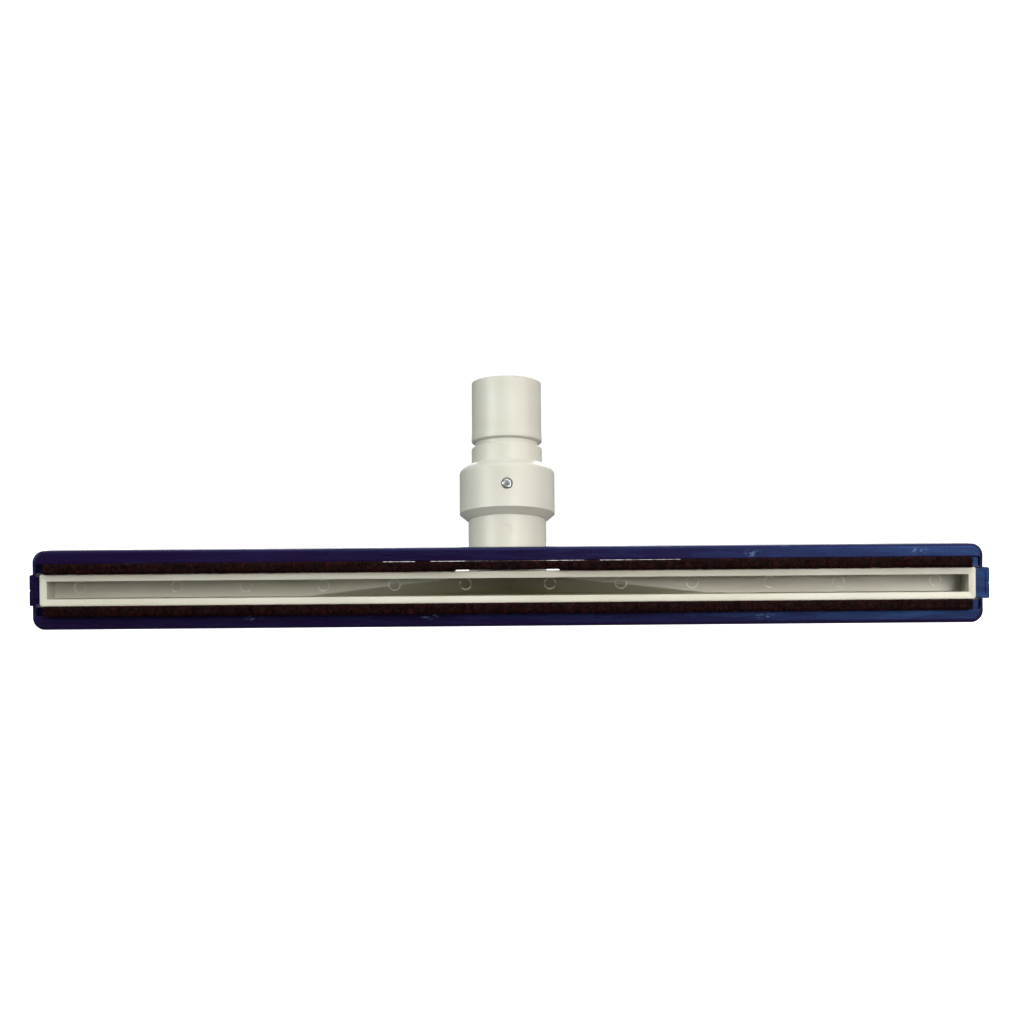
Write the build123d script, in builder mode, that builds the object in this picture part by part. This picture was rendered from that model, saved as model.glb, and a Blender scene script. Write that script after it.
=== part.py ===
from build123d import *
import os
from math import cos, radians, sin, tan

os.makedirs("parts", exist_ok=True)

# Suction brush head, millimetres. +X along the head, +Z up the neck, -Y out of the working face.
# "Depth" is measured back from the rim of the suction slot, and heights from the head's mid plane.

# Driving dimensions of the head
head_length = 500.0
head_height = 41.6
corner_radius = 6.3
rim_length = 491.2
rim_height = 16.9
slot_length = 483.9
slot_height = 9.4
rim_corner = 1.6
rim_edge = 0.6
rim_land = 0.8
band_fall = 0.4
slot_corner = 0.4
rim_flange = 4.0
wall = 2.25
ceiling_depth = 27.0
ceiling_wall = 3.0

# The fan: its floor falls away from the slot's ceiling along two planes that meet at the middle
fan_half_low = 108.0
fan_half_high = 24.6
fan_wall = 3.3
baffle_wall = 2.2
baffle_half = 16.5
baffle_foot = -6.4

# Swivel between the head and the neck
swivel_angle = 40.0
swivel_depth = 40.5
swivel_height = -4.0
hub_radius = 20.8
hub_reach = 45.0
hub_front = 25.0
hub_floor = -18.3
bore_radius = 15.0
bore_front = 27.2
bore_floor = -15.8
spigot_radius = 17.45
spigot_length = 12.5
spigot_seat = 3.0
seal_place = 4.2
seal_groove_depth = 1.55
seal_groove_width = 1.8
lock_place = 9.3
lock_groove_depth = 1.45
lock_groove_width = 2.6
washer_thickness = 0.8
running_gap = 0.15

# Round marks that the ejector pins left on the ceiling and on the fan's faces
pin_places = [22.6, 60.5, 98.5, 139.8, 176.7, 228.4]
pin_height = 0.9
pin_radius = 2.95
pin_sink = 0.45
pin_lip = 0.3

# Neck, collar and cuff, placed by their distance along the neck's axis from its corner
neck_lean = 10.5
neck_radius = 21.2
neck_bore = 17.5
bend_radius = 22.0
leg_length = 21.0
neck_end = 45.0
gate_place = 16.4
gate_radius = 3.15
gate_sink = 0.3
collar_radius = 25.95
collar_bore = 21.25
collar_start = 25.3
collar_foot_radius = 21.6
collar_foot_end = 28.9
collar_end = 55.9
collar_shoulder = 51.1
cuff_hole = 19.33
screw_place = 41.2
screw_radius = 1.5
screw_head_radius = 2.6
screw_head_height = 1.9
screw_pocket_radius = 3.2
screw_pocket_depth = 1.85
screw_tip = 18.4
recess_width = 0.7
recess_length = 3.0
recess_depth = 0.9
lock_tip_radius = 1.0
lock_tip_start = 16.4
lock_body_start = 17.9
lock_body_end = 20.9
lock_socket_radius = 0.8
lock_socket_depth = 1.5
seal_thickness = 1.2
ring_radius = 0.75
ring_place = 16.68
cuff_radius = 19.05
band_radius = 19.25
band_end = 71.0
cuff_start = 74.0
cuff_bore = 16.5
cuff_end = 102.5
cuff_break = 0.5
groove_start = 65.4
groove_end = 69.0
groove_radius = 17.3

# Brush frame, the bumper ring around the nozzle
frame_front = 3.0
frame_back = 28.0
frame_wall = 2.0
frame_edge = 1.9
land_inner = 13.65
land_edge = 0.7
web_wall = 1.35
web_back = 20.6
bridge_places = [-225, -165, -105, -45, 45, 105, 165, 225]
bridge_width = 8.0
bridge_back_wall = 2.0
bridge_back_height = 4.7
bridge_arm_length = 6.6
bridge_arm_wall = 0.5
bridge_arm_inner = 9.2
bridge_arm_outer = 13.4
bridge_post = 1.6
gusset_places = [-240, -195, -135, -75, -15, 15, 75, 135, 195, 240]
gusset_wall = 1.6
gusset_length = 14.0
gusset_height = 4.0
corner_block_place = 246.3
corner_block_length = 3.8
corner_block_height = 4.9
clip_half = 8.2
clip_wall = 1.8
clip_back = 22.0
clip_root = 2.0
clip_front = 0.4
hook_front = 0.3
hook_wall = 2.4
hook_inner = 245.0
crease_width = 0.6
crease_depth = 0.35
left_clip_proud = 1.5
right_clip_proud = 3.3

# Brush strips
strip_length = 488.2
strip_centre = 11.3
channel_width = 3.6
channel_front = 13.5
channel_back = 18.6
channel_sheet = 0.5
bristle_tip = -4.0
bristle_inner = 8.7
bristle_outer = 13.4
bristle_waist = 8.0
wire_radius = 0.8
wire_depth = 16.4

# Worked out from the above
neck_sine = sin(radians(neck_lean))
neck_cosine = cos(radians(neck_lean))
corner_depth = swivel_depth + leg_length * cos(radians(swivel_angle))
corner_height = swivel_height + leg_length * sin(radians(swivel_angle))
rear_depth = corner_depth + cuff_end * neck_sine + cuff_radius * neck_cosine
middle_depth = (bristle_tip + rear_depth) / 2
mid_height = head_height / 2
fan_tilt = tan(radians(swivel_angle))
fan_slope = fan_tilt * slot_height / (fan_half_low - fan_half_high)
channel_height = slot_height + 2 * wall
channel_length = slot_length + 2 * wall
back_depth = ceiling_depth + ceiling_wall
overlap = 0.5
gusset_depth = frame_front + frame_wall + gusset_length / 2 - overlap
gusset_middle = (land_inner + web_wall + head_height / 2 - frame_wall) / 2


def y_at(depth):
    """Row Y of a depth behind the slot's rim."""
    return depth - middle_depth


def face_plane(depth):
    """Plane facing out of the working face: local x is +X and local y is +Z, at the mid height."""
    return Plane(origin=(0, y_at(depth), mid_height), x_dir=(1, 0, 0), z_dir=(0, -1, 0))


def level_plane(height):
    """Horizontal plane at a height above the mid plane, with local y as the depth."""
    return Plane(origin=(0, y_at(0), mid_height + height), x_dir=(1, 0, 0), z_dir=(0, 0, 1))


def side_plane(x):
    """Plane across the head: local x is the depth and local y the height above the mid plane."""
    return Plane(origin=(x, y_at(0), mid_height), x_dir=(0, 1, 0), z_dir=(1, 0, 0))


def axis_point(lean, depth, height, along):
    """Point on an axis that leans back from +Z, starting at a depth and height."""
    return (
        0,
        y_at(depth) + along * sin(radians(lean)),
        mid_height + height + along * cos(radians(lean)),
    )


def turn_plane(lean, depth, height):
    """Section plane for turned pieces: local y runs along the leaning axis, local x is the radius."""
    return Plane(
        origin=axis_point(lean, depth, height, 0),
        x_dir=(1, 0, 0),
        z_dir=(0, -cos(radians(lean)), sin(radians(lean))),
    )


def cross_plane(lean, depth, height, along):
    """Plane square to a leaning axis, a distance along it."""
    return Plane(
        origin=axis_point(lean, depth, height, along),
        x_dir=(1, 0, 0),
        z_dir=(0, sin(radians(lean)), cos(radians(lean))),
    )


swivel_lean = 90.0 - swivel_angle
swivel_section = turn_plane(swivel_lean, swivel_depth, swivel_height)
swivel_axis = Axis(swivel_section.origin, swivel_section.y_dir)
neck_section = turn_plane(neck_lean, corner_depth, corner_height)
neck_axis = Axis(neck_section.origin, neck_section.y_dir)


def swivel_cross(along):
    """Plane square to the swivel axis."""
    return cross_plane(swivel_lean, swivel_depth, swivel_height, along)


def neck_cross(along):
    """Plane square to the neck's axis."""
    return cross_plane(neck_lean, corner_depth, corner_height, along)


def fan_depth(x, height, extra):
    """Depth of the fan's sloping face, or of the same plane set back by extra."""
    fall = fan_slope * (fan_half_low - x)
    return ceiling_depth + fall - fan_tilt * (height + slot_height / 2) + extra


def fan_half_width(base, height, extra):
    """Half width of the fan's triangle where it meets the plane at depth base."""
    drop = base - ceiling_depth - extra + fan_tilt * (height + slot_height / 2)
    return fan_half_low - drop / fan_slope


def fan_triangle(base, height, extra):
    """Corners of the fan's plan shape at one height."""
    half = fan_half_width(base, height, extra)
    return [(-half, base), (half, base), (0, fan_depth(0, height, extra))]


def baffle_outline(height):
    """Corners of the baffle's section at one height, front edge first."""
    side_depth = fan_depth(baffle_half, height, 0)
    middle = fan_depth(0, height, 0)
    return [
        (-baffle_half, side_depth),
        (0, middle),
        (baffle_half, side_depth),
        (baffle_half, side_depth + baffle_wall),
        (0, middle + baffle_wall),
        (-baffle_half, side_depth + baffle_wall),
    ]


def mark_plane(x):
    """Plane of an ejector pin mark: on the flat ceiling, or on the sloping face of the fan."""
    slope_depth = fan_depth(abs(x), pin_height, 0)
    origin = (x, y_at(max(ceiling_depth, slope_depth)), mid_height + pin_height)
    if slope_depth <= ceiling_depth:
        return Plane(origin=origin, x_dir=(1, 0, 0), z_dir=(0, -1, 0))
    lean = fan_slope if x > 0 else -fan_slope
    return Plane(origin=origin, x_dir=(1, -lean, 0), z_dir=(-lean, -1, -fan_tilt))


def finish(part, label):
    """Labels one piece and writes its STEP file."""
    part.part.label = label
    export_step(part.part, "parts/" + label + ".step")


# Hub behind the fan: a short tube on the swivel axis, trimmed to stay inside the brush frame
with BuildPart() as hub:
    with BuildSketch(swivel_cross(-hub_reach)):
        Circle(hub_radius)
    extrude(amount=hub_reach)
    split(bisect_by=face_plane(hub_front), keep=Keep.BOTTOM)
    split(bisect_by=level_plane(hub_floor), keep=Keep.TOP)

with BuildPart() as hub_bore:
    with BuildSketch(swivel_cross(-hub_reach)):
        Circle(bore_radius)
    extrude(amount=hub_reach + spigot_length)
    split(bisect_by=face_plane(bore_front), keep=Keep.BOTTOM)
    split(bisect_by=level_plane(bore_floor), keep=Keep.TOP)

# Nozzle: rim, channel, fan and hub in one moulding
with BuildPart() as nozzle_body:
    with BuildSketch(face_plane(0)):
        RectangleRounded(rim_length, rim_height, rim_corner)
    extrude(amount=-rim_flange)
    fillet(nozzle_body.faces().sort_by(Axis.Y)[0].edges(), rim_edge)
    with BuildSketch(face_plane(rim_flange - overlap)):
        RectangleRounded(channel_length, channel_height, 2.0)
    extrude(amount=rim_flange - overlap - back_depth)
    for x in bridge_places:
        with BuildSketch(face_plane(rim_flange - overlap)):
            with Locations((x, 0)):
                Rectangle(bridge_post, rim_height)
        extrude(amount=rim_flange - overlap - web_back)
    with BuildSketch(level_plane(-channel_height / 2)):
        Polygon(*fan_triangle(back_depth - 1.5, -channel_height / 2, fan_wall), align=None)
    with BuildSketch(level_plane(channel_height / 2)):
        Polygon(*fan_triangle(back_depth - 1.5, channel_height / 2, fan_wall), align=None)
    loft(ruled=True)
    add(hub.part)
    with BuildSketch(face_plane(rim_flange)):
        RectangleRounded(slot_length, slot_height, slot_corner)
    extrude(amount=rim_flange - ceiling_depth, mode=Mode.SUBTRACT)
    # Inside a narrow flat land, the rim's four bands fall towards the slot and meet in mitres
    with BuildSketch(face_plane(0)):
        Rectangle(rim_length - 2 * (rim_edge + rim_land), rim_height - 2 * (rim_edge + rim_land))
    with BuildSketch(face_plane(band_fall)):
        Rectangle(slot_length, slot_height)
    loft(ruled=True, mode=Mode.SUBTRACT)
    with BuildSketch(face_plane(band_fall)):
        RectangleRounded(slot_length, slot_height, slot_corner)
    extrude(amount=band_fall - rim_flange, mode=Mode.SUBTRACT)
    with BuildSketch(level_plane(-slot_height / 2)):
        Polygon(*fan_triangle(ceiling_depth - overlap, -slot_height / 2, 0), align=None)
    with BuildSketch(level_plane(slot_height / 2)):
        Polygon(*fan_triangle(ceiling_depth - overlap, slot_height / 2, 0), align=None)
    loft(ruled=True, mode=Mode.SUBTRACT)
    add(hub_bore.part, mode=Mode.SUBTRACT)
    # Baffle across the upper half of the bore, in line with the fan's faces
    with BuildSketch(level_plane(baffle_foot)):
        Polygon(*baffle_outline(baffle_foot), align=None)
    with BuildSketch(level_plane(channel_height / 2)):
        Polygon(*baffle_outline(channel_height / 2), align=None)
    loft(ruled=True)
    # Seat that the swivel spigot is bonded into, a ring round the bore
    with BuildSketch(swivel_cross(-spigot_seat)):
        Circle(spigot_radius)
        Circle(bore_radius, mode=Mode.SUBTRACT)
    extrude(amount=spigot_seat + 1, mode=Mode.SUBTRACT)
    # Ejector pin marks: a shallow recess inside a low lip, square to the face they are on
    for x in pin_places:
        for side in (-1, 1):
            pin_plane = mark_plane(side * x)
            with BuildSketch(pin_plane):
                Circle(pin_radius + pin_lip)
                Circle(pin_radius, mode=Mode.SUBTRACT)
            extrude(amount=pin_lip / 2)
            with BuildSketch(pin_plane):
                Circle(pin_radius)
            extrude(amount=-pin_sink, mode=Mode.SUBTRACT)
finish(nozzle_body, "nozzle_body")

# Swivel spigot: tube in the hub's seat, grooved for the seal ring and for the two lock screws
with BuildPart() as swivel_spigot:
    with BuildSketch(swivel_cross(-spigot_seat)):
        Circle(spigot_radius)
        Circle(bore_radius, mode=Mode.SUBTRACT)
    extrude(amount=spigot_seat + spigot_length)
    with BuildSketch(swivel_section):
        with Locations((spigot_radius, seal_place)):
            Rectangle(2 * seal_groove_depth, seal_groove_width)
        with Locations((spigot_radius, lock_place)):
            Rectangle(2 * lock_groove_depth, lock_groove_width)
    revolve(axis=swivel_axis, mode=Mode.SUBTRACT)
finish(swivel_spigot, "swivel_spigot")

# Brush frame: rounded bumper with a front land, two inner webs, gussets and strip bridges
inner_length = head_length - 2 * frame_wall
inner_height = head_height - 2 * frame_wall
web_front = frame_front + 0.8
with BuildPart() as brush_frame:
    with BuildSketch(face_plane(frame_front)):
        RectangleRounded(head_length, head_height, corner_radius)
    extrude(amount=frame_front - frame_back)
    fillet(brush_frame.faces().sort_by(Axis.Y)[0].edges(), frame_edge)
    with BuildSketch(face_plane(frame_front + frame_wall)):
        RectangleRounded(inner_length, inner_height, corner_radius - frame_wall)
    extrude(amount=frame_front + frame_wall - frame_back, mode=Mode.SUBTRACT)
    with BuildSketch(face_plane(frame_front + frame_wall)):
        RectangleRounded(inner_length, 2 * land_inner, 1.0)
    extrude(amount=frame_wall, mode=Mode.SUBTRACT)
    land_face = brush_frame.faces().filter_by(Axis.Y).sort_by(Axis.Y)[0]
    fillet(land_face.inner_wires()[0].edges(), land_edge)
    for side in (-1, 1):
        with BuildSketch(face_plane(web_front)):
            with Locations((0, side * (land_inner + web_wall / 2))):
                Rectangle(inner_length + overlap, web_wall)
        extrude(amount=web_front - web_back)
        for x in bridge_places:
            with BuildSketch(side_plane(x - bridge_width / 2)):
                with Locations((web_back - bridge_back_wall / 2, side * strip_centre)):
                    Rectangle(bridge_back_wall, bridge_back_height)
                for arm_place in (bridge_arm_inner, bridge_arm_outer):
                    with Locations((web_back - bridge_arm_length / 2, side * arm_place)):
                        Rectangle(bridge_arm_length, bridge_arm_wall)
            extrude(amount=bridge_width)
        for x in gusset_places:
            with BuildSketch(side_plane(x - gusset_wall / 2)):
                with Locations((gusset_depth, side * gusset_middle)):
                    Rectangle(gusset_length, gusset_height)
            extrude(amount=gusset_wall)
    # Blocks that close the corners beyond the strips, and windows in the end walls for the two clips
    for side in (-1, 1):
        for level in (-1, 1):
            with BuildSketch(face_plane(frame_front + 2.5)):
                with Locations((side * corner_block_place, level * strip_centre)):
                    Rectangle(corner_block_length, corner_block_height)
            extrude(amount=frame_front + 2.5 - web_back)
        with BuildSketch(face_plane(frame_front - 1)):
            with Locations((side * (head_length / 2), 0)):
                Rectangle(4 * frame_wall, 2 * clip_half)
        extrude(amount=frame_front - 1 - clip_back, mode=Mode.SUBTRACT)
finish(brush_frame, "brush_frame")


def end_clip(side, proud):
    """Spring clip in an end window: a bowed outer wall, two arms, a root and a wide hook behind the rim."""
    outer = head_length / 2 + proud
    inner = head_length / 2 - frame_wall
    with BuildPart() as clip:
        with BuildSketch(face_plane(frame_front + clip_front)):
            with Locations((side * (inner + outer) / 2, 0)):
                RectangleRounded(outer - inner, 2 * clip_half, clip_wall / 2)
        extrude(amount=frame_front + clip_front - clip_back)
        with BuildSketch(face_plane(frame_front - 1)):
            with Locations((side * (inner - 1 + outer - clip_wall) / 2, 0)):
                Rectangle(outer - clip_wall - inner + 1, 2 * (clip_half - clip_wall))
        extrude(amount=frame_front - 1 - clip_back + clip_root, mode=Mode.SUBTRACT)
        with BuildSketch(face_plane(rim_flange + hook_front)):
            with Locations((side * (hook_inner + outer - 1) / 2, 0)):
                Rectangle(outer - 1 - hook_inner, 2 * clip_half - clip_wall)
        extrude(amount=-hook_wall)
        # Parting groove across the middle of the outer wall
        with BuildSketch(side_plane(side * outer)):
            with Locations((clip_back / 2, 0)):
                Rectangle(clip_back, crease_width)
        extrude(amount=-side * crease_depth, mode=Mode.SUBTRACT)
    return clip


left_end_clip = end_clip(-1, left_clip_proud)
finish(left_end_clip, "left_end_clip")
right_end_clip = end_clip(1, right_clip_proud)
finish(right_end_clip, "right_end_clip")

channel_middle = (channel_front + channel_back) / 2
bristle_root = channel_back - channel_sheet


def strip_channel(side):
    """Steel channel, folded round the foot of the bristles."""
    with BuildPart() as channel:
        with BuildSketch(side_plane(-strip_length / 2)):
            with Locations((channel_middle, side * strip_centre)):
                Rectangle(channel_back - channel_front, channel_width)
            with Locations((channel_middle - channel_sheet, side * strip_centre)):
                Rectangle(
                    channel_back - channel_front,
                    channel_width - 2 * channel_sheet,
                    mode=Mode.SUBTRACT,
                )
        extrude(amount=strip_length)
    return channel


def bristle_block(side):
    """Plain solid for one row of bristles: straight at the tips, drawn in to the channel."""
    foot_inner = strip_centre - channel_width / 2 + channel_sheet
    foot_outer = strip_centre + channel_width / 2 - channel_sheet
    with BuildPart() as block:
        with BuildSketch(side_plane(-strip_length / 2)):
            Polygon(
                (bristle_tip, side * bristle_inner),
                (bristle_tip, side * bristle_outer),
                (bristle_waist, side * bristle_outer),
                (channel_front, side * foot_outer),
                (bristle_root, side * foot_outer),
                (bristle_root, side * foot_inner),
                (channel_front, side * foot_inner),
                (bristle_waist, side * bristle_inner),
                align=None,
            )
            with Locations((wire_depth, side * strip_centre)):
                Circle(wire_radius, mode=Mode.SUBTRACT)
        extrude(amount=strip_length)
    return block


def core_wire(side):
    """Wire that the bristles are folded over."""
    with BuildPart() as wire:
        with BuildSketch(side_plane(-strip_length / 2)):
            with Locations((wire_depth, side * strip_centre)):
                Circle(wire_radius)
        extrude(amount=strip_length)
    return wire


for side, row_name in ((1, "upper"), (-1, "lower")):
    finish(strip_channel(side), row_name + "_strip_channel")
    finish(bristle_block(side), row_name + "_bristles")
    finish(core_wire(side), row_name + "_core_wire")

# Seal ring and thrust washer on the spigot
with BuildPart() as neck_seal:
    with BuildSketch(swivel_section):
        with Locations((ring_place, seal_place)):
            Circle(ring_radius)
    revolve(axis=swivel_axis)
finish(neck_seal, "neck_seal")

with BuildPart() as neck_washer:
    with BuildSketch(swivel_cross(0)):
        Circle(hub_radius)
        Circle(neck_bore, mode=Mode.SUBTRACT)
    extrude(amount=washer_thickness)
finish(neck_washer, "neck_washer")

# Neck elbow: straight leg over the spigot, one bend, straight tube up into the collar
neck_start = washer_thickness + running_gap


def neck_front(along):
    """Plane on the neck's axis that faces out of its front side."""
    return Plane(
        origin=axis_point(neck_lean, corner_depth, corner_height, along),
        x_dir=(1, 0, 0),
        z_dir=(0, -neck_cosine, neck_sine),
    )


def lock_side(side, distance):
    """Plane across a lock screw's axis, a distance out from the swivel axis."""
    foot = swivel_cross(lock_place).origin + Vector(side * distance, 0, 0)
    return Plane(foot, x_dir=(0, 1, 0), z_dir=(side, 0, 0))


with BuildPart() as neck_elbow:
    with BuildLine() as neck_path:
        FilletPolyline(
            axis_point(swivel_lean, swivel_depth, swivel_height, neck_start),
            axis_point(neck_lean, corner_depth, corner_height, 0),
            axis_point(neck_lean, corner_depth, corner_height, neck_end),
            radius=bend_radius,
        )
    with BuildSketch(swivel_cross(neck_start)):
        Circle(neck_radius)
        Circle(neck_bore, mode=Mode.SUBTRACT)
    sweep()
    # Flat round mark that the moulding gate left on the front of the tube
    with BuildSketch(neck_front(gate_place).offset(neck_radius - gate_sink)):
        Circle(gate_radius)
    extrude(amount=1, mode=Mode.SUBTRACT)
    # Holes for the collar screw and the two lock screws
    with BuildSketch(neck_front(screw_place)):
        Circle(screw_radius)
    extrude(amount=neck_radius + 1, mode=Mode.SUBTRACT)
    with BuildSketch(lock_side(1, 0)):
        Circle(screw_radius)
    extrude(amount=neck_radius + 1, both=True, mode=Mode.SUBTRACT)
finish(neck_elbow, "neck_elbow")

# Two lock screws through the elbow's leg: their tips ride in the spigot's groove
with BuildPart() as neck_lock_screws:
    for side in (-1, 1):
        with BuildSketch(lock_side(side, lock_tip_start)):
            Circle(lock_tip_radius)
        extrude(amount=lock_body_start - lock_tip_start + 0.1)
        with BuildSketch(lock_side(side, lock_body_start)):
            Circle(screw_radius)
        extrude(amount=lock_body_end - lock_body_start)
        with BuildSketch(lock_side(side, lock_body_end)):
            RegularPolygon(lock_socket_radius, 6)
        extrude(amount=-lock_socket_depth, mode=Mode.SUBTRACT)
finish(neck_lock_screws, "neck_lock_screws")

# Collar: sleeve with a rounded shoulder over the end of the elbow, which holds the cuff's flange
with BuildPart() as collar:
    with BuildSketch(neck_section):
        Polygon(
            (collar_bore, collar_start),
            (collar_foot_radius, collar_start),
            (collar_radius, collar_foot_end),
            (collar_radius, collar_shoulder - 0.3),
            (collar_radius - 0.12, collar_shoulder + 0.5),
            (collar_radius - 0.5, collar_shoulder + 1.3),
            (collar_radius - 1.15, collar_shoulder + 2.0),
            (collar_radius - 1.95, collar_shoulder + 2.6),
            (cuff_hole + 1.35, collar_end),
            (cuff_hole, collar_end),
            (cuff_hole, collar_shoulder),
            (collar_bore, collar_shoulder),
            align=None,
        )
    revolve(axis=neck_axis)
    with BuildSketch(neck_front(screw_place).offset(collar_radius - screw_pocket_depth)):
        Circle(screw_pocket_radius)
    extrude(amount=2 * screw_pocket_depth, mode=Mode.SUBTRACT)
    with BuildSketch(neck_front(screw_place)):
        Circle(screw_radius)
    extrude(amount=collar_radius, mode=Mode.SUBTRACT)
finish(collar, "collar")

head_seat = collar_radius - screw_pocket_depth
head_top = head_seat + screw_head_height
with BuildPart() as collar_screw:
    with BuildSketch(neck_front(screw_place).offset(screw_tip)):
        Circle(screw_radius)
    extrude(amount=head_seat - screw_tip)
    with BuildSketch(neck_front(screw_place).offset(head_seat)):
        Circle(screw_head_radius)
    extrude(amount=screw_head_height)
    screw_line = Axis(neck_front(screw_place).origin, neck_front(screw_place).z_dir)
    fillet(collar_screw.edges().sort_by(screw_line)[-1], 0.8)
    with BuildSketch(neck_front(screw_place).offset(head_top)):
        Rectangle(recess_length, recess_width)
        Rectangle(recess_width, recess_length)
    extrude(amount=-recess_depth, mode=Mode.SUBTRACT)
finish(collar_screw, "collar_screw")

# Face seal and thrust washer either side of the cuff's flange
with BuildPart() as cuff_seal:
    with BuildSketch(neck_cross(neck_end)):
        Circle(neck_radius)
        Circle(neck_bore, mode=Mode.SUBTRACT)
    extrude(amount=seal_thickness)
finish(cuff_seal, "cuff_seal")

washer_start = collar_shoulder - washer_thickness
with BuildPart() as cuff_washer:
    with BuildSketch(neck_cross(washer_start)):
        Circle(neck_radius)
        Circle(cuff_hole, mode=Mode.SUBTRACT)
    extrude(amount=washer_thickness)
finish(cuff_washer, "cuff_washer")

# Hose cuff: flange inside the collar, a band, a locking groove and the spigot for the hose
flange_start = neck_end + seal_thickness + running_gap
flange_end = washer_start - running_gap
flange_radius = neck_radius - 0.3
with BuildPart() as cuff:
    with BuildSketch(neck_section):
        Polygon(
            (cuff_bore, flange_start),
            (flange_radius, flange_start),
            (flange_radius, flange_end),
            (band_radius, flange_end),
            (band_radius, groove_start - 0.5),
            (band_radius - 0.4, groove_start),
            (groove_radius, groove_start + 0.6),
            (groove_radius, groove_end - 0.9),
            (band_radius - 0.5, groove_end - 0.2),
            (band_radius, groove_end + 0.3),
            (band_radius, band_end),
            (cuff_radius, cuff_start),
            (cuff_radius, cuff_end - cuff_break),
            (cuff_radius - cuff_break, cuff_end),
            (cuff_bore, cuff_end),
            align=None,
        )
    revolve(axis=neck_axis)
finish(cuff, "cuff")
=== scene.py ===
"""Looks for the suction brush head: materials, bristles, floor, light and camera, in metres."""
import math
import random

import bpy
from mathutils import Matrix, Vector


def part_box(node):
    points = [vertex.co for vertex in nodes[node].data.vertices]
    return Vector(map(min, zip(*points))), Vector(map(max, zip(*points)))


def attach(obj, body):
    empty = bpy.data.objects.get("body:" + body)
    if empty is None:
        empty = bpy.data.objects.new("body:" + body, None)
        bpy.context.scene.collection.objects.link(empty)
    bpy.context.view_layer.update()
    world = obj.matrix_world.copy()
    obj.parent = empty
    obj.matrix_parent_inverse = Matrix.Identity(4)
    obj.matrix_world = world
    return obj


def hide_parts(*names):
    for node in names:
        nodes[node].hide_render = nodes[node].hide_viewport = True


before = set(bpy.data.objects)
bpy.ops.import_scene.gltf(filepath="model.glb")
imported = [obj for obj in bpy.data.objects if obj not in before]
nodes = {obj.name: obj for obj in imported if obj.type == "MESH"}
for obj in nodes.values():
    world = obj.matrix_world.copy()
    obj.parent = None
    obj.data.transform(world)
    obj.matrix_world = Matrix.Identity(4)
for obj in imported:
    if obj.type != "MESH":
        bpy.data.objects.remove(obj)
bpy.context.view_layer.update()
MM = 0.001
CEILING = 27.0 * MM
SLOT_HALF = 4.7 * MM
FAN_HALF = 108.0 * MM
PIN_PLACES = tuple(across * MM for across in (22.6, 60.5, 98.5, 139.8, 176.7, 228.4))
PIN_HEIGHT = 0.9 * MM
SCUFFS = ((0.135, 0.0045), (-0.134, 0.0062), (0.129, 0.0372), (-0.041, 0.0060), (0.216, 0.0380))
SCUFF_HALF_LENGTH = 6.0 * MM
SCUFF_HALF_HEIGHT = 2.6 * MM
FAN_TILT = math.tan(math.radians(40.0))
THROAT_HALF = 24.6 * MM
FAN_SLOPE = FAN_TILT * 2 * SLOT_HALF / (FAN_HALF - THROAT_HALF)


# ---------------------------------------------------------------- materials

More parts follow.
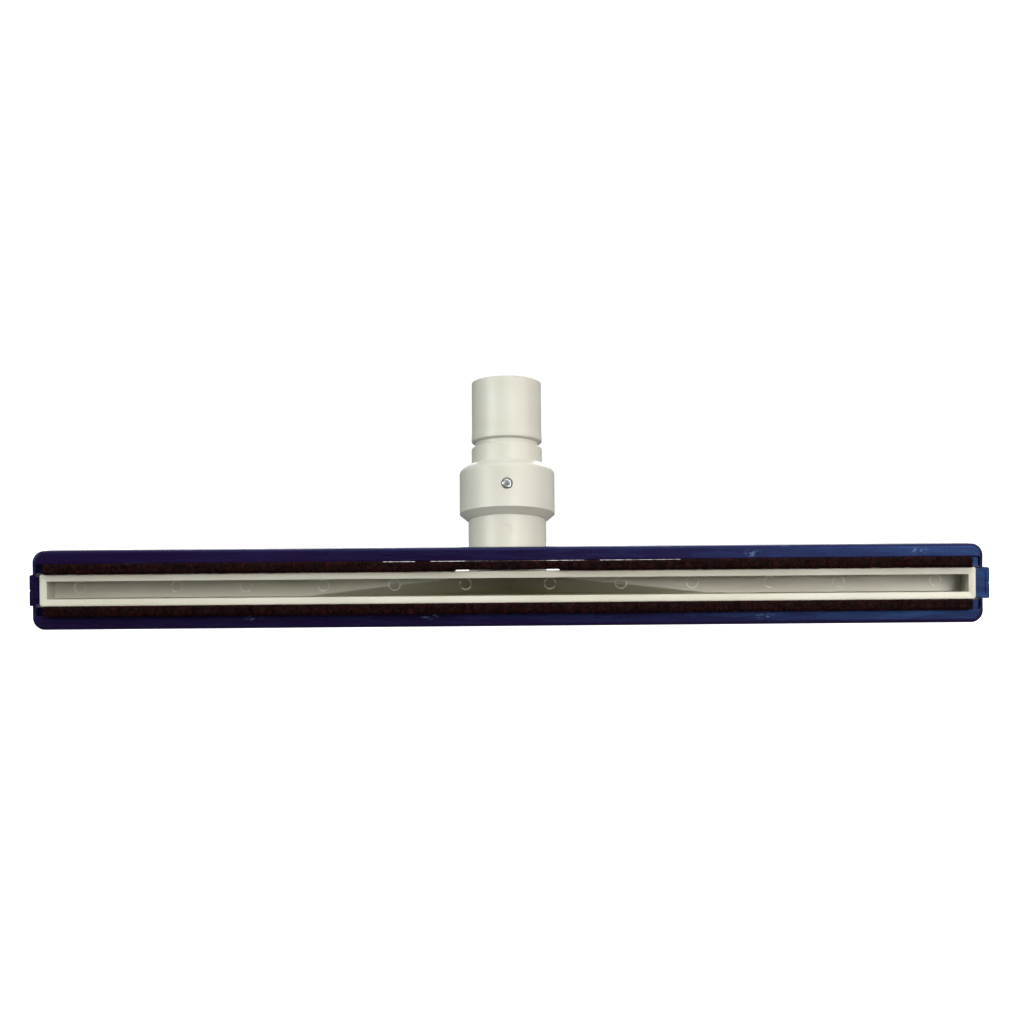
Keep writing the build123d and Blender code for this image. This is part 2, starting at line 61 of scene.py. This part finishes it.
class Nodes:
    """Adds and links the shader nodes of one material."""

    def __init__(self, name):
        self.material = bpy.data.materials.new(name)
        self.material.use_nodes = True
        self.tree = self.material.node_tree
        self.shader = self.tree.nodes["Principled BSDF"]
        self.position = self.add("ShaderNodeTexCoord").outputs["Object"]

    def add(self, kind, **values):
        node = self.tree.nodes.new(kind)
        for key, value in values.items():
            setattr(node, key, value)
        return node

    def link(self, a, b):
        self.tree.links.new(a, b)

    def stretched(self, scale):
        """Object position multiplied by three factors, for a noise stretched along some of its axes."""
        mapping = self.add("ShaderNodeMapping")
        mapping.inputs["Scale"].default_value = scale
        self.link(self.position, mapping.inputs["Vector"])
        return mapping.outputs["Vector"]

    def noise(self, vector, scale=1.0, detail=3.0, roughness=0.5):
        node = self.add("ShaderNodeTexNoise")
        node.inputs["Scale"].default_value = scale
        node.inputs["Detail"].default_value = detail
        node.inputs["Roughness"].default_value = roughness
        self.link(vector, node.inputs["Vector"])
        return node.outputs["Fac"]

    def ramp(self, value, stops):
        """Colour or grey ramp through (place, colour) stops."""
        node = self.add("ShaderNodeValToRGB")
        elements = node.color_ramp.elements
        while len(elements) < len(stops):
            elements.new(0.5)
        for element, (place, colour) in zip(elements, stops):
            element.position = place
            if not isinstance(colour, tuple):
                colour = (colour, colour, colour)
            element.color = (*colour, 1.0)
        self.link(value, node.inputs["Fac"])
        return node.outputs["Color"]

    def mix(self, factor, a, b):
        node = self.add("ShaderNodeMix", data_type="RGBA")
        for socket, value in ((node.inputs[0], factor), (node.inputs[6], a), (node.inputs[7], b)):
            if isinstance(value, bpy.types.NodeSocket):
                self.link(value, socket)
            elif isinstance(value, tuple):
                socket.default_value = (*value, 1.0)
            else:
                socket.default_value = value
        return node.outputs[2]

    def math(self, operation, a, b=0.0):
        node = self.add("ShaderNodeMath", operation=operation)
        for socket, value in zip(node.inputs, (a, b)):
            if isinstance(value, bpy.types.NodeSocket):
                self.link(value, socket)
            else:
                socket.default_value = value
        return node.outputs[0]

    def axis(self, index):
        """One coordinate of the object position."""
        split = self.add("ShaderNodeSeparateXYZ")
        self.link(self.position, split.inputs[0])
        return split.outputs[index]

    def bump(self, height, strength, distance, under=None):
        node = self.add("ShaderNodeBump")
        node.inputs["Strength"].default_value = strength
        node.inputs["Distance"].default_value = distance
        self.link(height, node.inputs["Height"])
        if under is not None:
            self.link(under, node.inputs["Normal"])
        return node.outputs["Normal"]

    def set(self, **inputs):
        """Sets or links shader inputs, with underscores for the spaces in their names."""
        for key, value in inputs.items():
            socket = self.shader.inputs[key.replace("_", " ")]
            if isinstance(value, bpy.types.NodeSocket):
                self.link(value, socket)
            elif isinstance(value, tuple) and len(value) == 3 and socket.type == "RGBA":
                socket.default_value = (*value, 1.0)
            else:
                socket.default_value = value


def fan_depths(n):
    """Depth of the shaded point behind the rim, and of the fan's inner face in front of or behind it."""
    across = n.math("ABSOLUTE", n.axis(0))
    depth = n.math("SUBTRACT", n.axis(1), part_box("nozzle_body")[0].y)
    height = n.math("SUBTRACT", n.axis(2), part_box("brush_frame")[1].z / 2)
    slope = n.math("MULTIPLY", n.math("SUBTRACT", FAN_HALF, across), FAN_SLOPE)
    tilt = n.math("MULTIPLY", n.math("ADD", height, SLOT_HALF), FAN_TILT)
    return depth, n.math("SUBTRACT", n.math("ADD", slope, CEILING), tilt)


def painted_fan_shade_mask(n):
    """Mask of painted shade on the fan's inner faces, from none at the ceiling to full where the fan is deep.
    """
    depth, face = fan_depths(n)
    behind_face = n.math("MULTIPLY", n.math("SUBTRACT", depth, face), 500.0)
    inside = n.ramp(behind_face, [(0.4, 1.0), (0.8, 0.0)])
    behind_ceiling = n.math("MULTIPLY", n.math("SUBTRACT", depth, CEILING), 100.0)
    deep = n.ramp(behind_ceiling, [(0.0, 0.0), (0.05, 0.55), (0.8, 1.0)])
    return n.math("MULTIPLY", inside, deep)


def painted_pin_highlights(n):
    """Mask of painted highlight rings round the ejector pin marks on the slot's ceiling, for their lit edges.
    """
    across = n.math("ABSOLUTE", n.axis(0))
    head_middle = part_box("brush_frame")[1].z / 2
    height = n.math("SUBTRACT", n.math("SUBTRACT", n.axis(2), head_middle), PIN_HEIGHT)
    nearest = None
    for place in PIN_PLACES:
        aside = n.math("SUBTRACT", across, place)
        squares = n.math("ADD", n.math("MULTIPLY", aside, aside), n.math("MULTIPLY", height, height))
        away = n.math("SQRT", squares)
        nearest = away if nearest is None else n.math("MINIMUM", nearest, away)
    ring = n.ramp(n.math("MULTIPLY", nearest, 200.0), [(0.48, 0.0), (0.55, 0.8), (0.64, 0.9), (0.70, 0.0)])
    depth, face = fan_depths(n)
    over = n.math("ABSOLUTE", n.math("SUBTRACT", depth, n.math("MAXIMUM", face, CEILING)))
    patchy = n.ramp(n.noise(n.position, 230.0, 2.0), [(0.42, 0.1), (0.58, 1.0)])
    return n.math("MULTIPLY", n.math("MULTIPLY", ring, patchy), n.math("LESS_THAN", over, 1.0 * MM))


def moulded_cream(name, base, shade, roughness, fan_shade_paint=None):
    """Slightly mottled cream plastic with a fine moulded grain, optionally with painted shade and highlights.
    """
    n = Nodes(name)
    broad = n.ramp(n.noise(n.position, 22.0, 2.0), [(0.35, 0.0), (0.65, 1.0)])
    colour = n.mix(broad, base, shade)
    grain = n.noise(n.position, 1100.0, 2.0)
    colour = n.mix(n.ramp(grain, [(0.3, 0.05), (0.7, 0.0)]), colour, (0.28, 0.25, 0.19))
    # Painted shade: the fan's deep inner faces are darkened towards an olive shade colour.
    if fan_shade_paint:
        colour = n.mix(painted_fan_shade_mask(n), colour, fan_shade_paint)
        # Painted highlight: paler rings round the ejector pin marks stand in for their lit edges.
        colour = n.mix(painted_pin_highlights(n), colour, (0.80, 0.79, 0.73))
    sheen = n.noise(n.stretched((35.0, 60.0, 60.0)))
    gloss = n.ramp(sheen, [(0.3, roughness - 0.06), (0.7, roughness + 0.07)])
    soft = n.bump(n.noise(n.position, 160.0, 2.0), 0.10, 0.0005)
    n.set(Base_Color=colour, Roughness=gloss, Normal=n.bump(grain, 0.12, 0.0001, soft))
    n.shader.inputs["Specular IOR Level"].default_value = 0.42
    n.shader.inputs["Subsurface Weight"].default_value = 0.08
    n.shader.inputs["Subsurface Radius"].default_value = (0.9, 0.7, 0.45)
    n.shader.inputs["Subsurface Scale"].default_value = 0.002
    return n.material


def scuffs(n):
    """Mask of a few rubbed spots on the bumper's front land."""
    total = None
    for place_x, place_z in SCUFFS:
        aside = n.math("MULTIPLY", n.math("SUBTRACT", n.axis(0), place_x), 1.0 / SCUFF_HALF_LENGTH)
        above = n.math("MULTIPLY", n.math("SUBTRACT", n.axis(2), place_z), 1.0 / SCUFF_HALF_HEIGHT)
        squares = n.math("ADD", n.math("MULTIPLY", aside, aside), n.math("MULTIPLY", above, above))
        spot = n.ramp(n.math("SQRT", squares), [(0.3, 1.0), (1.0, 0.0)])
        total = spot if total is None else n.math("MAXIMUM", total, spot)
    broken = n.ramp(n.noise(n.stretched((330.0, 500.0, 900.0)), 1.0, 4.0, 0.65), [(0.50, 0.0), (0.62, 1.0)])
    return n.math("MULTIPLY", total, broken)


def moulded_navy(name):
    """Glossy navy plastic with scuffs, plus long streaks and paler patches of painted sheen."""
    n = Nodes(name)
    broad = n.ramp(n.noise(n.stretched((9.0, 60.0, 60.0)), 1.0, 3.0), [(0.35, 0.0), (0.7, 1.0)])
    colour = n.mix(broad, (0.0092, 0.0034, 0.024), (0.0120, 0.0060, 0.033))
    # Painted sheen: bluish streaks and paler patches stand in for reflections of light on the glossy land.
    streaks = n.ramp(n.noise(n.stretched((28.0, 900.0, 900.0)), 1.0, 4.0), [(0.62, 0.0), (0.80, 0.55)])
    colour = n.mix(streaks, colour, (0.018, 0.026, 0.078))
    painted_sheen_patches = n.ramp(n.noise(n.stretched((45.0, 190.0, 190.0)), 1.0, 5.0, 0.65), [(0.66, 0.0), (0.74, 0.8)])
    colour = n.mix(painted_sheen_patches, colour, (0.032, 0.052, 0.105))
    colour = n.mix(scuffs(n), colour, (0.075, 0.11, 0.18))
    gloss = n.ramp(n.noise(n.stretched((30.0, 240.0, 240.0)), 1.0, 4.0), [(0.3, 0.19), (0.75, 0.38)])
    soft = n.bump(n.noise(n.stretched((18.0, 90.0, 90.0)), 1.0, 2.0), 0.35, 0.0008)
    fine = n.noise(n.position, 700.0, 3.0)
    n.set(Base_Color=colour, Roughness=gloss, Normal=n.bump(fine, 0.10, 0.0001, soft))
    n.shader.inputs["Specular IOR Level"].default_value = 0.30
    n.shader.inputs["Specular Tint"].default_value = (0.12, 0.38, 1.0, 1.0)
    return n.material


def metal(name, base, roughness, stretch):
    """Metal with drawn or rolled streaks and dull spots."""
    n = Nodes(name)
    streak = n.noise(n.stretched(stretch), 1.0, 3.0)
    dull = n.ramp(n.noise(n.position, 260.0, 3.0), [(0.45, 0.0), (0.75, 0.6)])
    colour = n.mix(dull, base, tuple(0.55 * v for v in base))
    gloss = n.ramp(streak, [(0.3, roughness - 0.08), (0.7, roughness + 0.12)])
    n.set(Base_Color=colour, Roughness=gloss, Normal=n.bump(streak, 0.15, 0.0001))
    n.shader.inputs["Metallic"].default_value = 1.0
    return n.material


def rubber(name):
    """Matt black rubber with a fine grain."""
    n = Nodes(name)
    grain = n.noise(n.position, 900.0, 3.0)
    colour = n.mix(grain, (0.010, 0.010, 0.011), (0.024, 0.023, 0.024))
    gloss = n.ramp(grain, [(0.3, 0.55), (0.7, 0.75)])
    n.set(Base_Color=colour, Roughness=gloss, Normal=n.bump(grain, 0.2, 0.0001))
    return n.material


def acetal(name):
    """Natural white acetal."""
    n = Nodes(name)
    grain = n.noise(n.position, 700.0, 2.0)
    colour = n.mix(grain, (0.72, 0.72, 0.69), (0.80, 0.80, 0.78))
    gloss = n.ramp(grain, [(0.3, 0.38), (0.7, 0.52)])
    n.set(Base_Color=colour, Roughness=gloss, Normal=n.bump(grain, 0.1, 0.0001))
    return n.material


def fibre(name):
    """Dark bristle fibres, from near black to red brown along and across the row."""
    n = Nodes(name)
    strand = n.noise(n.stretched((1500.0, 12.0, 1500.0)), 1.0, 1.0)
    clump = n.noise(n.stretched((420.0, 10.0, 420.0)), 1.0, 2.0)
    shades = [
        (0.36, (0.0025, 0.0008, 0.0010)),
        (0.52, (0.0100, 0.0016, 0.0022)),
        (0.72, (0.042, 0.0085, 0.0060)),
    ]
    dark = n.ramp(strand, shades)
    colour = n.mix(n.ramp(clump, [(0.35, 0.65), (0.6, 0.0)]), dark, (0.0035, 0.002, 0.0025))
    gloss = n.ramp(strand, [(0.3, 0.42), (0.7, 0.62)])
    n.set(Base_Color=colour, Roughness=gloss)
    n.shader.inputs["Specular IOR Level"].default_value = 0.04
    return n.material


# The last colour is the painted shade laid on the fan's deep inner faces.
cream = moulded_cream("cream_plastic", (0.54, 0.525, 0.455), (0.485, 0.465, 0.39), 0.40, (0.15, 0.135, 0.072))
neck_cream = moulded_cream("neck_plastic", (0.515, 0.503, 0.448), (0.475, 0.462, 0.405), 0.36)
navy = moulded_navy("navy_plastic")
channel_steel = metal("channel_steel", (0.50, 0.50, 0.49), 0.42, (12.0, 900.0, 900.0))
wire_steel = metal("wire_steel", (0.45, 0.45, 0.45), 0.36, (12.0, 900.0, 900.0))
screw_steel = metal("screw_steel", (0.55, 0.57, 0.60), 0.24, (500.0, 500.0, 500.0))
black_rubber = rubber("seal_rubber")
white_acetal = acetal("washer_plastic")
bristle_fibre = fibre("bristle_fibre")

LOOKS = {
    "nozzle_body": cream,
    "swivel_spigot": cream,
    "brush_frame": navy,
    "left_end_clip": navy,
    "right_end_clip": navy,
    "upper_strip_channel": channel_steel,
    "lower_strip_channel": channel_steel,
    "upper_core_wire": wire_steel,
    "lower_core_wire": wire_steel,
    "neck_seal": black_rubber,
    "neck_washer": white_acetal,
    "neck_elbow": neck_cream,
    "neck_lock_screws": screw_steel,
    "collar": neck_cream,
    "collar_screw": screw_steel,
    "cuff_seal": black_rubber,
    "cuff_washer": white_acetal,
    "cuff": neck_cream,
    "upper_bristles": bristle_fibre,
    "lower_bristles": bristle_fibre,
}
for node_name, material in LOOKS.items():
    slots = nodes[node_name].material_slots
    if not slots:
        nodes[node_name].data.materials.append(material)
    for slot in slots:
        slot.material = material


# ---------------------------------------------------------------- bristles

FILAMENTS = 6400
SECTIONS = 4
SIDES = 4
TUFT_PITCH = 1.9 * MM
FILAMENT_RADII = (0.17 * MM, 0.25 * MM)
TIP_TAPER = 0.45
CENTRE_GAP_HALF = 27 * MM
CENTRE_SET_BACK = 0.75 * MM
SLIM_FROM = -66 * MM
SLIM_TO = 91 * MM
SLIM_BY = 0.30 * MM
BED_STATIONS = 420
BED_INNER = 8.25 * MM
BED_OUTER = 13.95 * MM
WAIST_INNER = 8.6 * MM
WAIST_OUTER = 13.4 * MM


def near_neck(x, side):
    """Whether the strip stands back from the rim at x, as the upper one does in the middle."""
    return side > 0 and abs(x) < CENTRE_GAP_HALF


def is_slim(x, side):
    """Whether the strip stands clear of the bumper at x, as the upper one does along one length."""
    return side > 0 and SLIM_FROM < x < SLIM_TO


def bristle_object(name, vertices, faces):
    """New object of bristle fibre from plain mesh data."""
    mesh = bpy.data.meshes.new(name)
    mesh.from_pydata(vertices, [], faces)
    mesh.update()
    mesh.materials.append(bristle_fibre)
    made = bpy.data.objects.new(name, mesh)
    bpy.context.scene.collection.objects.link(made)
    return made


def bristle_row(row, side, seed):
    """Thousands of tapered filaments in tufts, from the channel out to ragged tips."""
    draw = random.Random(seed)
    low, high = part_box(row + "_bristles")
    channel_low, channel_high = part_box(row + "_strip_channel")
    root_y = channel_low.y + 1.2 * MM
    tip_y = low.y
    centre_z = (channel_low.z + channel_high.z) / 2
    root_half = (channel_high.z - channel_low.z) / 2 - 0.7 * MM
    inner = low.z if side > 0 else high.z
    outer = high.z if side > 0 else low.z
    rings = []
    start = low.x + 0.4 * MM
    length = high.x - low.x - 0.8 * MM
    tufts = int(length / TUFT_PITCH)
    per_tuft = FILAMENTS // tufts
    for i in range(tufts):
        tuft_x = start + (i + 0.5) * length / tufts
        tuft_lean = draw.gauss(0.0, 0.35) * MM
        tuft_drop = abs(draw.gauss(0.0, 0.35)) * MM
        inner_gap = 0.6 * MM if near_neck(tuft_x, side) else -0.3 * MM
        outer_gap = 0.15 * MM if is_slim(tuft_x, side) else -0.25 * MM
        edge_in = inner + side * inner_gap
        edge_out = outer - side * outer_gap
        for _ in range(per_tuft):
            across = draw.random()
            root_x = tuft_x + draw.uniform(-0.75, 0.75) * MM
            tip_x = root_x + tuft_lean + draw.gauss(0.0, 0.45) * MM
            tip_x = min(max(tip_x, start), start + length)
            root_z = centre_z + (2 * across - 1) * root_half * side
            spread = min(max(across + draw.gauss(0.0, 0.06), 0.0), 1.0)
            tip_z = edge_in + (edge_out - edge_in) * spread
            end_y = tip_y + tuft_drop + abs(draw.gauss(0.0, 0.4)) * MM
            radius = draw.uniform(*FILAMENT_RADII)
            turn = draw.uniform(0.0, math.pi / 2)
            bow = draw.gauss(0.0, 0.12) * MM
            for s in range(SECTIONS):
                t = s / (SECTIONS - 1)
                ease = t * t * (3 - 2 * t)
                x = root_x + (tip_x - root_x) * ease + bow * math.sin(math.pi * t)
                y = root_y + (end_y - root_y) * t
                z = root_z + (tip_z - root_z) * ease
                r = radius * (1.0 - TIP_TAPER * t * t)
                for k in range(SIDES):
                    a = turn + 2 * math.pi * k / SIDES
                    rings.append((x + r * math.cos(a), y, z + r * math.sin(a)))
    count = tufts * per_tuft
    quads = []
    for f in range(count):
        base = f * SECTIONS * SIDES
        for s in range(SECTIONS - 1):
            for k in range(SIDES):
                a = base + s * SIDES + k
                b = base + s * SIDES + (k + 1) % SIDES
                quads.append((a, b, b + SIDES, a + SIDES))
        quads.append(tuple(base + k for k in reversed(range(SIDES))))
        quads.append(tuple(base + (SECTIONS - 1) * SIDES + k for k in range(SIDES)))
    row_object = bristle_object(row + "_bristle_row", rings, quads)
    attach(row_object, "head")
    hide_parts(row + "_bristles")


def bristle_bed(row, side, seed):
    """Dense heart of the row, a ragged ridge under the tips."""
    draw = random.Random(seed)
    low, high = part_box(row + "_bristles")
    channel_low, channel_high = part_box(row + "_strip_channel")
    centre_z = (channel_low.z + channel_high.z) / 2
    root_half = (channel_high.z - channel_low.z) / 2 - 0.75 * MM
    head_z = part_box("brush_frame")[1].z / 2
    vertices, faces = [], []
    for i in range(BED_STATIONS + 1):
        x = low.x + 0.6 * MM + (high.x - low.x - 1.2 * MM) * i / BED_STATIONS
        tip = low.y + (1.1 + draw.uniform(0.0, 0.6)) * MM
        thin = SLIM_BY if is_slim(x, side) else 0.0
        set_back = CENTRE_SET_BACK if near_neck(x, side) else 0.0
        inner = BED_INNER + draw.uniform(0.0, 0.12) * MM + set_back
        outer = BED_OUTER + draw.uniform(-0.12, 0.05) * MM - thin
        waist_in, waist_out = max(inner, WAIST_INNER), WAIST_OUTER - thin
        near, far = (inner, outer) if side > 0 else (-outer, -inner)
        waist_near, waist_far = (waist_in, waist_out) if side > 0 else (-waist_out, -waist_in)
        quarter = (far - near) / 4
        profile = [
            (channel_low.y + 1.0 * MM, centre_z - root_half),
            (channel_low.y - 1.0 * MM, centre_z - root_half),
            (low.y + 4.4 * MM, head_z + waist_near),
            (low.y + 3.4 * MM, head_z + near),
            (tip + 0.6 * MM, head_z + near),
            (tip, head_z + near + quarter),
            (tip + draw.uniform(-0.3, 0.3) * MM, head_z + (near + far) / 2),
            (tip, head_z + far - quarter),
            (tip + 0.6 * MM, head_z + far),
            (low.y + 3.4 * MM, head_z + far),
            (low.y + 4.4 * MM, head_z + waist_far),
            (channel_low.y - 1.0 * MM, centre_z + root_half),
            (channel_low.y + 1.0 * MM, centre_z + root_half),
        ]
        vertices.extend((x, y, z) for y, z in profile)
    ring = len(profile)
    for i in range(BED_STATIONS):
        for k in range(ring):
            a = i * ring + k
            b = i * ring + (k + 1) % ring
            faces.append((a, a + ring, b + ring, b))
    faces.append(tuple(range(ring)))
    faces.append(tuple(BED_STATIONS * ring + k for k in reversed(range(ring))))
    bed = bristle_object(row + "_bristle_bed", vertices, faces)
    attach(bed, "head")


for row, side, seed in (("upper", 1, 11), ("lower", -1, 23)):
    bristle_row(row, side, seed)
    bristle_bed(row, side, seed + 1)


# ---------------------------------------------------------------- floor, light, camera

FLOOR_HALF = 4.0
FLOOR_GAP = 0.2 * MM

floor_mesh = bpy.data.meshes.new("floor")
floor_corners = [(x * FLOOR_HALF, y * FLOOR_HALF, 0) for x, y in ((-1, -1), (1, -1), (1, 1), (-1, 1))]
floor_mesh.from_pydata(floor_corners, [], [(0, 1, 2, 3)])
floor = bpy.data.objects.new("floor", floor_mesh)
bpy.context.scene.collection.objects.link(floor)
floor.location.z = -FLOOR_GAP
pale = Nodes("floor_paint")
pale.set(Base_Color=(0.86, 0.86, 0.86), Roughness=0.9)
pale.shader.inputs["Specular IOR Level"].default_value = 0.0
pale.shader.inputs["Emission Color"].default_value = (1.0, 1.0, 1.0, 1.0)
pale.shader.inputs["Emission Strength"].default_value = 1.0
floor_mesh.materials.append(pale.material)
floor.visible_glossy = False
floor.visible_diffuse = False

world = bpy.data.worlds.new("studio")
bpy.context.scene.world = world
world.use_nodes = True
tree = world.node_tree


def strength_along(part, steps):
    """World strength through (place, strength) steps, by a direction's part along one axis."""
    half_way = tree.nodes.new("ShaderNodeMapRange")
    half_way.inputs["From Min"].default_value = -1.0
    tree.links.new(part, half_way.inputs["Value"])
    ramp = tree.nodes.new("ShaderNodeValToRGB")
    while len(ramp.color_ramp.elements) < len(steps):
        ramp.color_ramp.elements.new(0.5)
    for element, (place, grey) in zip(ramp.color_ramp.elements, steps):
        element.position = place
        element.color = (grey, grey, grey, 1.0)
    tree.links.new(half_way.outputs["Result"], ramp.inputs["Fac"])
    return ramp.outputs["Color"]


background = tree.nodes["Background"]
background.inputs["Color"].default_value = (0.93, 0.96, 1.0, 1.0)
direction = tree.nodes.new("ShaderNodeTexCoord")
split = tree.nodes.new("ShaderNodeSeparateXYZ")
tree.links.new(direction.outputs["Generated"], split.inputs[0])
toward_back = strength_along(split.outputs[1], [(0.0, 0.05), (0.5, 0.32), (1.0, 0.28)])
toward_top = strength_along(split.outputs[2], [(0.45, 0.0), (0.9, 0.22)])
total = tree.nodes.new("ShaderNodeMath")
total.operation = "ADD"
tree.links.new(toward_back, total.inputs[0])
tree.links.new(toward_top, total.inputs[1])
tree.links.new(total.outputs[0], background.inputs["Strength"])
white = tree.nodes.new("ShaderNodeBackground")
white.inputs["Color"].default_value = (1.0, 1.0, 1.0, 1.0)
white.inputs["Strength"].default_value = 1.05
path = tree.nodes.new("ShaderNodeLightPath")
choose = tree.nodes.new("ShaderNodeMixShader")
tree.links.new(path.outputs["Is Camera Ray"], choose.inputs[0])
tree.links.new(background.outputs[0], choose.inputs[1])
tree.links.new(white.outputs[0], choose.inputs[2])
tree.links.new(choose.outputs[0], tree.nodes["World Output"].inputs["Surface"])


def soft_light(name, place, aim, size, power, colour):
    """Rectangular area light, in metres and watts, turned towards its aim."""
    data = bpy.data.lights.new(name, "AREA")
    data.shape = "RECTANGLE"
    data.size, data.size_y = size
    data.energy = power
    data.color = colour
    light = bpy.data.objects.new(name, data)
    bpy.context.scene.collection.objects.link(light)
    light.location = place
    light.rotation_euler = (Vector(aim) - Vector(place)).to_track_quat("-Z", "Y").to_euler()


soft_light("key", (0.58, -1.42, 0.27), (0.05, 0.0, 0.02), (0.45, 0.45), 15.5, (1.0, 0.97, 0.92))
soft_light("high", (0.40, -1.20, 1.40), (0.0, 0.0, 0.03), (1.2, 1.0), 11.0, (1.0, 0.99, 0.95))
soft_light("fill", (-1.5, -1.1, 0.7), (0.0, 0.0, 0.05), (0.9, 0.9), 20.0, (0.92, 1.0, 0.95))
soft_light("right", (1.5, -0.9, 0.8), (0.0, 0.0, 0.05), (0.9, 0.9), 9.0, (1.0, 0.97, 0.92))
soft_light("top", (0.15, -0.15, 1.5), (0.0, 0.0, 0.0), (1.4, 0.9), 6.0, (0.96, 0.98, 1.0))
soft_light("back", (0.2, 1.5, 0.9), (0.0, 0.0, 0.05), (1.2, 0.8), 14.0, (1.0, 1.0, 1.0))

camera_data = bpy.data.cameras.new("camera")
camera_data.sensor_width = 36.0
camera_data.lens = 98.6
camera_data.clip_start = 0.05
camera_data.clip_end = 50.0
camera = bpy.data.objects.new("camera", camera_data)
bpy.context.scene.collection.objects.link(camera)
camera.location = (0.0026, -1.516, 0.060)
camera.rotation_euler = (math.pi / 2, math.radians(0.48), 0.0)
bpy.context.scene.camera = camera
bpy.context.scene.view_settings.view_transform = "Standard"
